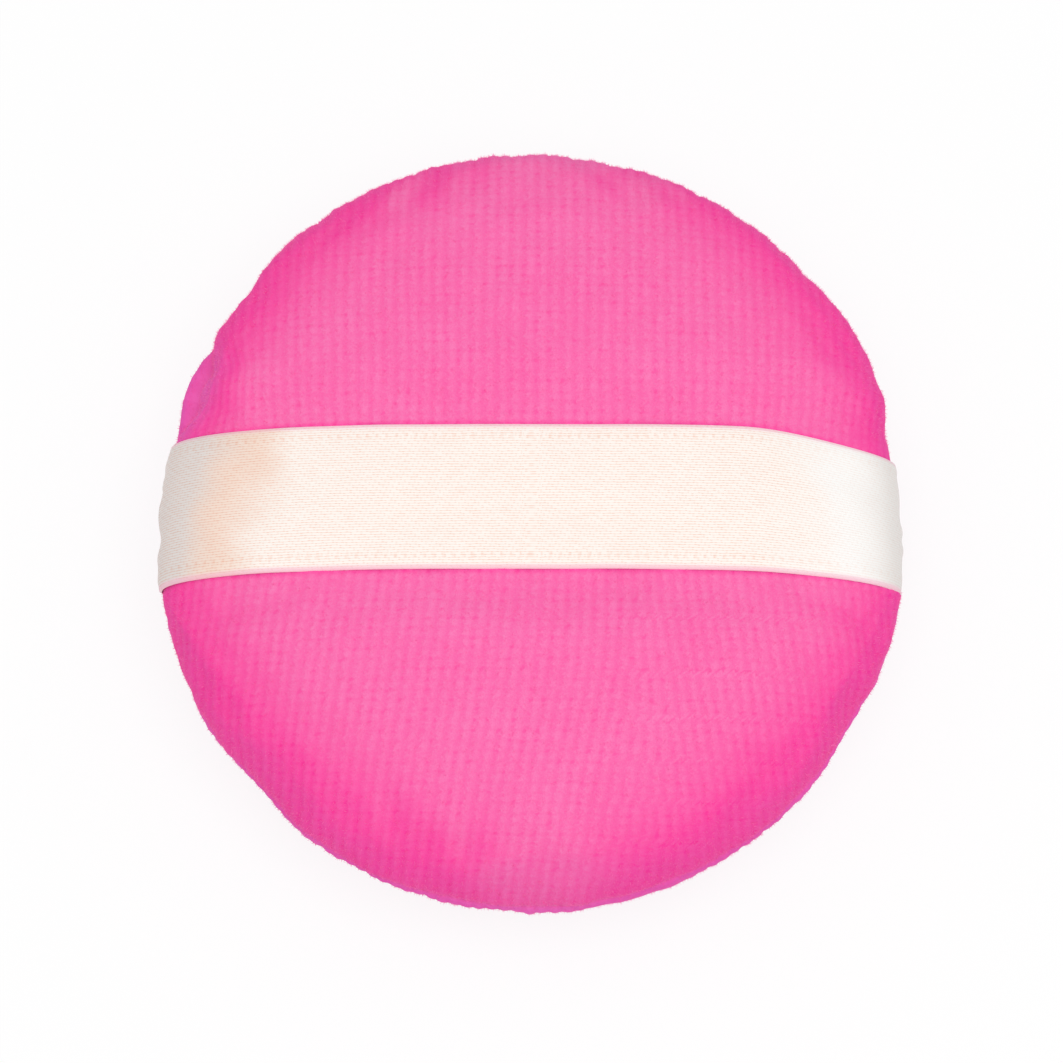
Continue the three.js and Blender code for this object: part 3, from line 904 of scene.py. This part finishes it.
def swollen(shape):
    """How far the stuffing pushes each panel out: a cloth simulation of both, sewn together at the rim.

    The seam, the strip under the ribbon and the rest face are held. Gives a coarse grid of moves for each.
    """
    cells = SWELL_CELLS
    total = (cells + 1) ** 2
    numbers = {CROWN: np.arange(total).reshape(cells + 1, cells + 1)}
    numbers[BASE] = numbers[CROWN] + total
    for edge in (np.s_[0, :], np.s_[-1, :], np.s_[:, 0], np.s_[:, -1]):
        numbers[BASE][edge] = numbers[CROWN][edge]
    sides = []
    for panel in (CROWN, BASE):
        start, b, _ = cloth_grid(shape, panel, cells, cells)
        sides.append(shape.outside(shape.wale_line(start, b), b, panel))
    rest = np.concatenate([points.reshape(-1, 3) for points, _ in sides])
    faces = np.concatenate([grid_faces(numbers[panel], panel) for panel in (CROWN, BASE)])
    used = np.unique(faces)
    renumber = np.zeros(len(rest), int)
    renumber[used] = np.arange(len(used))
    shell = new_piece("swelling_shell", rest[used] * SWELL_SCALE, [renumber[faces]], None)

    held = np.concatenate([q.ravel() for _, q in sides])[used] > HELD_SEAM
    held |= (used < total) & (np.abs(rest[used, 1]) < shape.ribbon.width / 2 + HELD_MARGIN)
    held |= (used >= total) & (rest[used, 2] < HELD_LEVEL)
    group = shell.vertex_groups.new(name="held")
    group.add(np.flatnonzero(held).tolist(), 1.0, "REPLACE")
    cloth = shell.modifiers.new("Swell", "CLOTH")
    cloth.settings.vertex_group_mass = group.name
    for name, value in SWELL_SETTINGS.items():
        setattr(cloth.settings, name, value)
    cloth.settings.effector_weights.gravity = 0
    cloth.point_cache.frame_start = 1
    cloth.point_cache.frame_end = SWELL_FRAMES
    scene = bpy.context.scene
    for step in range(1, SWELL_FRAMES + 1):
        scene.frame_set(step)
    evaluated = shell.evaluated_get(bpy.context.evaluated_depsgraph_get())
    moved = np.zeros(len(used) * 3, np.float32)
    evaluated.data.vertices.foreach_get("co", moved)
    scene.frame_set(1)

    move = np.zeros_like(rest)
    move[used] = moved.reshape(-1, 3) / SWELL_SCALE - rest[used]
    bpy.data.objects.remove(shell)
    size = np.linalg.norm(move, axis=1, keepdims=True)
    limit = shape.sizes.swell_limit
    move *= limit * np.tanh(size / limit) / np.maximum(size, 1e-9)
    return {panel: move[numbers[panel]] for panel in (CROWN, BASE)}


def rib_relief(look, q, angle, crest, course, streak):
    """Height of the tufts along the ribs, deeper beside the seam."""
    steep = smooth_step(q, 0.4, 0.95) * (0.3 + 0.7 * np.sin(angle) ** 2)
    fine = 1 - smooth_step(np.abs(np.gradient(course, axis=1)), 0.22, 0.36)
    bead = 0.5 + 0.5 * np.cos(FULL_TURN * course)
    tuft = crest * (1 - 0.6 * fine * (1 - bead))
    relief = look.wale_relief + (look.side_relief - look.wale_relief) * steep
    return relief * (tuft - 0.6) * (0.5 + 0.5 * streak)


def swell_move(shape, swell, points, q, panel):
    """The simulated swelling, carried to a panel's points and faded at the seam and beside the ribbon."""
    across, along = (spline_weights(size - 1, SWELL_CELLS) for size in q.shape)
    free = 1 - smooth_step(q, 0.9, 1.5)
    if panel == CROWN:
        free = free * smooth_step(np.abs(points[..., 1]) - shape.ribbon.width / 2, 0.1 * MM, 5 * MM)
    return np.einsum("ia,abk,jb->ijk", across, swell, along) * free[..., None]


def closed_skin(name, shape, panel, points, angle, material):
    """A piece from the points of a panel's outside, closed by its turned-in edge and its lining."""
    numbers = np.arange(angle.size).reshape(angle.shape)
    edge = grid_edge(numbers)
    inside = shape.inside(panel, angle.ravel()[edge])
    loops = [edge, *(angle.size + np.arange(len(edge) * (len(inside) - 1)).reshape(-1, len(edge)))]
    inner_faces = [band_faces(loops), fan_faces(loops[-1], loops[-1][-1] + 1)]
    faces = [grid_faces(numbers, panel), *(some[:, ::-panel] for some in inner_faces)]
    return new_piece(name, np.concatenate([points.reshape(-1, 3), *inside]), faces, material)


def make_panel(name, panel, seed, swell, material):
    """A velour panel as one closed skin: ribbed outside, fold at the rim, turned-in edge and lining."""
    scene = bpy.context.scene
    shape, look = PuffShape(scene), scene.puff_velour
    reach = shape.cloth_radius
    columns = round(2 * reach / look.wale_pitch) * COLUMNS_PER_WALE
    start, b, v = cloth_grid(shape, panel, columns, ROWS[panel])
    a = shape.wale_line(start, b)
    u = a * reach
    stray = cloth_noise(u, v, 34 * MM, 26 * MM, seed) * look.wale_wander / reach
    a = a + stray * (1 - np.minimum(a * a + b * b, 1))
    points, q = shape.outside(a, b, panel)
    if swell is not None:
        points = points + swell_move(shape, swell[panel], points, q, panel)
    normals = grid_normals(points, panel)

    wale = np.arange(columns + 1)[:, None] / COLUMNS_PER_WALE
    wale = wale + shape.added_wales(start, b, look.wale_pitch)
    stretched = (1 - shape.parting_side(start) ** 2) * smooth_step(shape.parted(b), 0.01, 0.04)
    crest = (0.5 + 0.5 * np.cos(FULL_TURN * wale)) ** 0.75
    crest = crest + (0.6 - crest) * stretched
    streak = np.clip(0.55 + 0.45 * cloth_noise(u, v, 2.6 * MM, 6 * MM, seed + 1), 0, 1)
    under = 1 - smooth_step(np.abs(points[..., 1]) - shape.ribbon.width / 2, -0.8 * MM, 0.5 * MM)
    under = under * (panel == CROWN)
    angle = np.arctan2(b, a)
    rim = shape.oval_radius(angle)
    gather = cloth_noise(rim * np.cos(angle), rim * np.sin(angle), 5.5 * MM, 5.5 * MM, seed + 2)
    course = v / look.course_pitch
    move = rib_relief(look, q, angle, crest, course, streak)
    move = move + look.softness * cloth_noise(u, v, 9 * MM, 12 * MM, seed + 3)
    move = (move + look.pucker * gather * smooth_step(q, 0.5, 1.0)) * (1 - 0.85 * under)
    move = move * (1 - smooth_step(q, 1.3, FOLD_END))
    points = points + normals * move[..., None]
    points[..., 2] = np.maximum(points[..., 2], 0)

    piece = closed_skin(name, shape, panel, points, angle, material)
    total = len(piece.data.vertices)
    # The slope kept here drives painted shade down the sides, painted paler as if lit where they face the
    # back, front and right
    facing = np.arctan2(normals[..., 1], normals[..., 0])
    tilt = np.hypot(normals[..., 0], normals[..., 1])
    slope = tilt * SIDE_SHADE_DEPTH
    for middle, spread, pale in PAINTED_LIGHT_SIDES:
        slope = slope - tilt * pale * shape.around(facing, (middle,), spread)
    standing = (1 - under) * (1 - smooth_step(q, 1.3, 1.8)) * (points[..., 2] > 0.6 * MM)
    standing = standing * (0.3 + 0.5 * smooth_step(q, 0.6, 1.0))
    painted_sheen_share = np.ones_like(q)
    if panel == CROWN:
        past = shape.past_ribbon(points[..., 0], points[..., 1])
        # Painted shade on the velour beside the ribbon's edges
        slope = np.maximum(slope, look.pressed_depth * (1 - smooth_step(past, 0, look.pressed_width)))
        # Painted sheen on the crown beside the lobe, like the powder side's
        painted_sheen_share = 0.85 * shape.cast(angle) * smooth_step(q, 0.60, 0.88)
    kept = {"slope": (slope, 1.0), "pile": (standing, 0.0), "powder_side": (painted_sheen_share, 1.0)}
    for key, (values, inner) in kept.items():
        keep_values(piece, key, np.append(values.ravel(), np.full(total - a.size, inner)))
    cloth = np.zeros((total, 3))
    cloth[: a.size] = np.stack([wale.ravel(), course.ravel(), tilt.ravel()], axis=-1)
    keep_values(piece, "cloth", cloth)
    return piece


def new_geometry_tree(name, values):
    """A Geometry Nodes tree with inputs named and made for those values, and its input node as a Wire."""
    tree = bpy.data.node_groups.new(name, "GeometryNodeTree")
    for way in ("OUTPUT", "INPUT"):
        tree.interface.new_socket("Geometry", in_out=way, socket_type="NodeSocketGeometry")
    for socket, value in values.items():
        tree.interface.new_socket(socket, in_out="INPUT", socket_type=SOCKETS[type(value)])
    return tree, Wire(tree).node("NodeGroupInput", output="Geometry")


def end_geometry_tree(given, placed):
    """Ends a tree in an instance on each point, as real geometry with its material set."""
    instances = given.node("GeometryNodeInstanceOnPoints", None, placed)
    real = given.node("GeometryNodeRealizeInstances", None, {"Geometry": instances})
    dressing = {"Geometry": real, "Material": given.also("Material")}
    dressed = given.node("GeometryNodeSetMaterial", None, dressing)
    given.node("NodeGroupOutput", None, {"Geometry": dressed})


def plain_result(name, mesh, tree, values):
    """Runs a tree on a mesh and gives the result as a plain piece."""
    host = linked(name + "_host", mesh)
    modifier = host.modifiers.new(name, "NODES")
    inputs = [item for item in tree.interface.items_tree if item.name in values]
    for item in inputs:
        item.default_value = values[item.name]
    modifier.node_group = tree
    for item in inputs:
        modifier[item.identifier] = values[item.name]
    depsgraph = bpy.context.evaluated_depsgraph_get()
    result = bpy.data.meshes.new_from_object(host.evaluated_get(depsgraph))
    bpy.data.objects.remove(host)
    result.name = name
    return linked(name, result)


def pile_tree(values):
    """Fibres strewn over the cloth where its pile value lets them, leaning at random about its normal."""
    tree, given = new_geometry_tree("velour_pile", values)
    seed = given.also("Seed")
    cover = given.node("GeometryNodeInputNamedAttribute", {"data_type": "FLOAT"}, {"Name": "pile"})
    strewn = given.node(
        "GeometryNodeDistributePointsOnFaces",
        {"distribute_method": "RANDOM"},
        {"Mesh": given, "Density": cover * given.also("Density"), "Seed": seed},
        "Points",
    )
    root = given.also("Fibre Width") * 0.5
    cone = {"Vertices": 3, "Radius Top": 0.0, "Radius Bottom": root, "Depth": given.also("Fibre Length")}
    fibre = given.node("GeometryNodeMeshCone", {"fill_type": "NONE"}, cone, "Mesh")
    ways = {"Min": (-1, -1, -1), "Max": (1, 1, 1), "Seed": seed}
    wild = given.node("FunctionNodeRandomValue", {"data_type": "FLOAT_VECTOR"}, ways)
    lean = given.node("ShaderNodeVectorMath", {"operation": "SCALE"}, {0: wild, "Scale": given.also("Lean")})
    upright = given.node("ShaderNodeVectorMath", {"operation": "ADD"}, {0: strewn.also("Normal"), 1: lean})
    turned = given.node("FunctionNodeAlignRotationToVector", {"axis": "Z"}, {"Vector": upright})
    sizes = {RANDOM_LEAST: 0.55, RANDOM_MOST: 1.15, "Seed": seed + 7}
    size = given.node("FunctionNodeRandomValue", {"data_type": "FLOAT"}, sizes, RANDOM_NUMBER)
    end_geometry_tree(given, {"Points": strewn, "Instance": fibre, "Rotation": turned, "Scale": size})
    return tree


def stitch_tree(values):
    """Short bars of thread set along a line, each bowed outwards and slanting across it."""
    tree, given = new_geometry_tree("closing_stitches", values)
    line = given.node("GeometryNodeMeshToCurve", None, {"Mesh": given})
    spacing = {"Curve": line, "Length": given.also("Pitch")}
    points = given.node("GeometryNodeCurveToPoints", {"mode": "LENGTH"}, spacing, "Points")
    span, slant = given.also("Span"), given.also("Slant")
    half = span * 0.5
    start, end = given.vector(0.0, -1 * slant, -1 * half), given.vector(0.0, slant, half)
    bows = {"Resolution": 8, "Start": start, "Middle": given.vector(span * 0.55, 0.0), "End": end}
    bow = given.node("GeometryNodeCurveQuadraticBezier", None, bows)
    rings = {"Resolution": 8, "Radius": given.also("Thread Width") * 0.5}
    ring = given.node("GeometryNodeCurvePrimitiveCircle", {"mode": "RADIUS"}, rings)
    bars = {"Curve": bow, "Profile Curve": ring, "Fill Caps": True}
    bar = given.node("GeometryNodeCurveToMesh", None, bars)
    smooth = given.node("GeometryNodeSetShadeSmooth", None, {"Geometry": bar})
    place = given.node("GeometryNodeInputPosition")
    level = given.node("ShaderNodeVectorMath", {"operation": "MULTIPLY"}, {0: place, 1: (1, 1, 0)})
    facing = given.node("FunctionNodeAlignRotationToVector", {"axis": "X"}, {"Vector": level})
    end_geometry_tree(given, {"Points": points, "Instance": smooth, "Rotation": facing})
    return tree


def seen(wire):
    """1 for what the camera sees, also in gloss and through glass."""
    path = wire.node("ShaderNodeLightPath", None, None, "Is Camera Ray")
    both = path.math("MAXIMUM", path, path.also("Is Glossy Ray"))
    return path.math("MAXIMUM", both, path.also("Is Transmission Ray"))


def aimed(name, data, place, aim):
    """A camera or light at a place, looking at another."""
    made = linked(name, data)
    made.location = place
    made.rotation_mode = "QUATERNION"
    made.rotation_quaternion = (aim - made.location).to_track_quat("-Z", "Y")
    return made


class PUFF_OT_stage(bpy.types.Operator):
    """Adds the camera, the softbox, the sky and the white floor"""

    bl_idname = "puff.stage"
    bl_label = "Stage"

    def execute(self, context):
        scene, look = context.scene, context.scene.puff_stage
        scene.view_settings.view_transform = "Standard"
        aim = Vector((0, AIM_OFFSET, scene.puff_sizes.belly_depth))
        back = Vector((0, -math.cos(look.elevation), math.sin(look.elevation)))
        camera = bpy.data.cameras.new("camera")
        camera.lens = look.lens / MM
        camera.clip_start = 0.01
        distance = look.view_width * camera.lens / camera.sensor_width
        scene.camera = aimed("camera", camera, aim + back * distance, aim)

        softbox = bpy.data.lights.new("softbox", "AREA")
        softbox.shape = "DISK"
        softbox.size = SOFTBOX_SIZE
        softbox.energy = look.softbox_watts
        aimed("softbox", softbox, SOFTBOX_PLACE, aim)

        world = bpy.data.worlds.new("sky")
        world.use_nodes = True
        world.node_tree.nodes.clear()
        wire = Wire(world.node_tree)
        strength = seen(wire) * (1 - look.sky) + look.sky
        sky = wire.node("ShaderNodeBackground", None, {"Color": (1, 1, 1, 1), "Strength": strength})
        wire.node("ShaderNodeOutputWorld", None, {"Surface": sky})
        scene.world = world

        material, wire = new_material("floor")
        paper = wire.node("ShaderNodeBsdfDiffuse", None, {"Color": (*[look.floor_white] * 3, 1)})
        white = wire.node("ShaderNodeEmission", None, {"Color": (1, 1, 1, 1), "Strength": 1.0})
        both = {0: seen(wire) * FLOOR_SHINE, 1: paper, 2: white}
        finish_surface(material, wire, both, "ShaderNodeMixShader")
        corners = np.array([(-1, -1, 0), (1, -1, 0), (1, 1, 0), (-1, 1, 0)]) * FLOOR_HALF
        floor = new_piece("floor", corners + (0, 0, FLOOR_LEVEL), [np.arange(4)[None]], material)
        return {"FINISHED"}


class PUFF_OT_foam(bpy.types.Operator):
    """Makes the foam core that fills the cover"""

    bl_idname = "puff.foam"
    bl_label = "Foam Core"

    def execute(self, context):
        shape = PuffShape(context.scene)
        lining = context.scene.puff_sizes.velour_thickness + FOAM_GAP
        rings = self.half_rings(shape, CROWN, lining) + self.half_rings(shape, BASE, lining)[::-1]
        points = np.concatenate(rings)
        inward = np.array([0, 0, shape.seam_level]) - points
        inward /= np.linalg.norm(inward, axis=1, keepdims=True)
        pores = PORE_DEPTH * np.random.default_rng(PORE_SEED).random(len(points)) ** 4
        points = points + inward * pores[:, None]
        tips = [shape.middle(shape.depth[panel] - lining, panel) for panel in (CROWN, BASE)]
        loops = list(np.arange(len(points)).reshape(-1, FOAM_AROUND))
        top, low = fan_faces(loops[0], len(points)), fan_faces(loops[-1], len(points) + 1)
        faces = [band_faces(loops), top[:, ::-1], low]
        material = foam_material(context.scene.puff_sewing)
        foam = new_piece("foam_disc", np.concatenate([points, *tips]), faces, material)
        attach(foam, "pad")
        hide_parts("foam_core")
        return {"FINISHED"}

    @staticmethod
    def half_rings(shape, panel, lining):
        """Rings of points from the middle of one half out to the groove for the seam allowances."""
        angle = np.linspace(0, FULL_TURN, FOAM_AROUND, endpoint=False)
        flat = shape.flat[panel]
        flat_part = FOAM_FLAT if flat else 0.0
        crown = shape.depth[panel] - lining - shape.fold_centre
        parts = np.linspace(0, 1, FOAM_STEPS + 1)[1:]
        half = [(flat * part / FOAM_FLAT, 0.0) for part in parts[parts <= flat_part]]
        turns = (parts[parts > flat_part] - flat_part) / (1 - flat_part) * FOAM_END
        half += [(shape.rounded_share(turn, angle, panel), turn) for turn in turns]
        rings = [
            shape.settle(share, lining, shape.fold_centre + crown * math.cos(turn), share**6, angle, panel)
            for share, turn in half
        ]
        return [*rings, shape.settle(1.0, GROOVE_INSET, GROOVE_HEIGHT, 1, angle, panel)]


class PUFF_OT_velour(bpy.types.Operator):
    """Makes the two velour panels, swollen by the stuffing"""

    bl_idname = "puff.velour"
    bl_label = "Velour Panels"

    def execute(self, context):
        swell = swollen(PuffShape(context.scene))
        look = context.scene.puff_velour
        material = velour_material(look)
        crown = make_panel("velour_crown", CROWN, look.seed, swell, material)
        base = make_panel("velour_base", BASE, look.seed + 20, swell, material)
        for piece, node in ((crown, "upper_cover"), (base, "lower_cover")):
            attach(piece, "pad")
            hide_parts(node)
        return {"FINISHED"}


class PUFF_OT_pile(bpy.types.Operator):
    """Strews pile fibres over both velour panels"""

    bl_idname = "puff.pile"
    bl_label = "Velour Pile"

    def execute(self, context):
        look, tree = context.scene.puff_velour, None
        pale = fibre_material("pale_pile", look.pile_pale)
        deep = fibre_material("deep_pile", look.pile_deep)
        coats = (
            ("crown_pile_pale", "velour_crown", look.crown_fibres, 1.0, pale),
            ("crown_pile_deep", "velour_crown", look.crown_fibres, 0.8, deep),
            ("base_pile", "velour_base", look.base_fibres, 0.9, deep),
        )
        for order, (name, panel, density, tall, material) in enumerate(coats):
            values = {
                "Density": density / MM**2,
                "Fibre Length": look.fibre_length * tall,
                "Fibre Width": look.fibre_width,
                "Lean": look.fibre_lean,
                "Seed": look.seed + order,
                "Material": material,
            }
            tree = tree or pile_tree(values)
            piece = plain_result(name, bpy.data.objects[panel].data, tree, values)
            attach(piece, "pad")
        return {"FINISHED"}


class PUFF_OT_ribbon(bpy.types.Operator):
    """Lays the satin ribbon over the crown, round the fold and into the seam at both ends"""

    bl_idname = "puff.ribbon"
    bl_label = "Satin Ribbon"

    def execute(self, context):
        look = context.scene.puff_ribbon
        shape = PuffShape(context.scene)
        place, run, total = self.even_places(shape)
        side = np.where(place < 0, -1.0, 1.0)[:, None]
        across = np.linspace(-0.5, 0.5, RIBBON_STATIONS + 1)[None, :] * look.width
        q = np.abs(place)[:, None]
        skins = []
        curl = EDGE_CURL * smooth_step(np.abs(across), 0.44 * look.width, 0.5 * look.width)
        for off, short in ((look.lie + look.thickness, look.edge_round), (look.lie, 0.0)):
            offset = across * (1 - 2 * short / look.width)
            points = shape.ribbon_points(side, q + 0 * across, offset + 0 * q, off - curl)
            drift = shape.drift(points[..., 0])
            points[..., 1] -= drift * (look.skew + look.gather * points[..., 1] / (look.width / 2))
            ripple = cloth_noise(points[..., 0], points[..., 1], 16 * MM, 9 * MM, RIPPLE_SEED)
            points[..., 2] += RIPPLE * ripple * (q < 1)
            skins.append(points)
        top = skins[0]
        half = top[..., 0].size
        numbers = np.arange(half).reshape(top.shape[:2])
        edge = grid_edge(numbers)
        wall = band_faces([edge, edge + half])
        faces = [grid_faces(numbers, CROWN), grid_faces(numbers + half, BASE), wall]
        points = np.concatenate([skin.reshape(-1, 3) for skin in skins])
        ribbon = new_piece("finger_ribbon", points, faces, satin_material(look))
        ribbon.data.set_sharp_from_angle(angle=EDGE_ANGLE)
        weave = np.zeros((2, *top.shape))
        weave[..., 0] = run[:, None]
        weave[..., 1] = across
        keep_values(ribbon, "weave", weave.reshape(-1, 3))
        # The tilt kept here tells the satin which way the ribbon slants, for its painted light and shade
        keep_values(ribbon, "tilt", np.tile(grid_normals(top, CROWN)[..., 0].ravel(), 2))
        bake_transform(ribbon)
        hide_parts("satin_ribbon")
        return {"FINISHED"}

    @staticmethod
    def even_places(shape):
        """Even places along the ribbon, from -3 at the left raw end to 3, their runs and its length."""
        dense = np.linspace(-3, 3, DENSE_STEPS + 1)
        side = np.where(dense < 0, -1.0, 1.0)
        run = running_length(shape.ribbon_points(side, np.abs(dense), np.zeros_like(dense), 0.5 * MM))
        even = np.linspace(0, run[-1], RIBBON_STEPS + 1)
        return np.interp(even, run, dense), even, float(run[-1])


class PUFF_OT_sewing(bpy.types.Operator):
    """Sews the turning gap shut and dresses the seam thread"""

    bl_idname = "puff.sewing"
    bl_label = "Sewing Thread"

    def execute(self, context):
        look, shape = context.scene.puff_sewing, PuffShape(context.scene)
        material = thread_material(look)
        half = look.turning_gap / 2 / (context.scene.puff_sizes.puff_length / 2)
        angle = np.linspace(QUARTER - half, QUARTER + half, STITCH_POINTS)
        points = shape.settle(1.0, STITCH_INSET, 0.0, 1, angle, CROWN)
        mesh = bpy.data.meshes.new("closing_line")
        mesh.from_pydata(points.tolist(), [(i, i + 1) for i in range(len(points) - 1)], [])
        values = {
            "Pitch": look.closing_pitch,
            "Thread Width": look.thread_width,
            "Span": STITCH_SPAN,
            "Slant": STITCH_SLANT,
            "Material": material,
        }
        stitches = plain_result("closing_stitches", mesh, stitch_tree(values), values)
        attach(stitches, "pad")
        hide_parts("closing_stitch")
        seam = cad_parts["seam_thread"]
        seam.data.materials.clear()
        seam.data.materials.append(material)
        return {"FINISHED"}


OPERATORS = (PUFF_OT_stage, PUFF_OT_foam, PUFF_OT_velour, PUFF_OT_pile, PUFF_OT_ribbon, PUFF_OT_sewing)


class PUFF_PT_panel(bpy.types.Panel):
    """Lists the puff's pieces and settings"""

    bl_idname = "PUFF_PT_panel"
    bl_label = "Powder Puff"
    bl_space_type = "VIEW_3D"
    bl_region_type = "UI"
    bl_category = "Powder Puff"

    def draw(self, context):
        for operator in OPERATORS:
            self.layout.operator(operator.bl_idname)
        for group, kind in GROUPS.items():
            box = self.layout.box()
            for name in kind.__annotations__:
                box.prop(getattr(context.scene, group), name)


CLASSES = (*GROUPS.values(), *OPERATORS, PUFF_PT_panel)


def register():
    for made in CLASSES:
        bpy.utils.register_class(made)
    for name, kind in GROUPS.items():
        setattr(bpy.types.Scene, name, PointerProperty(type=kind))


def unregister():
    for name in GROUPS:
        delattr(bpy.types.Scene, name)
    for made in reversed(CLASSES):
        bpy.utils.unregister_class(made)


def main():
    register()
    bpy.ops.puff.stage()
    bpy.ops.puff.foam()
    bpy.ops.puff.velour()
    bpy.ops.puff.pile()
    bpy.ops.puff.ribbon()
    bpy.ops.puff.sewing()


if __name__ == "__main__":
    main()
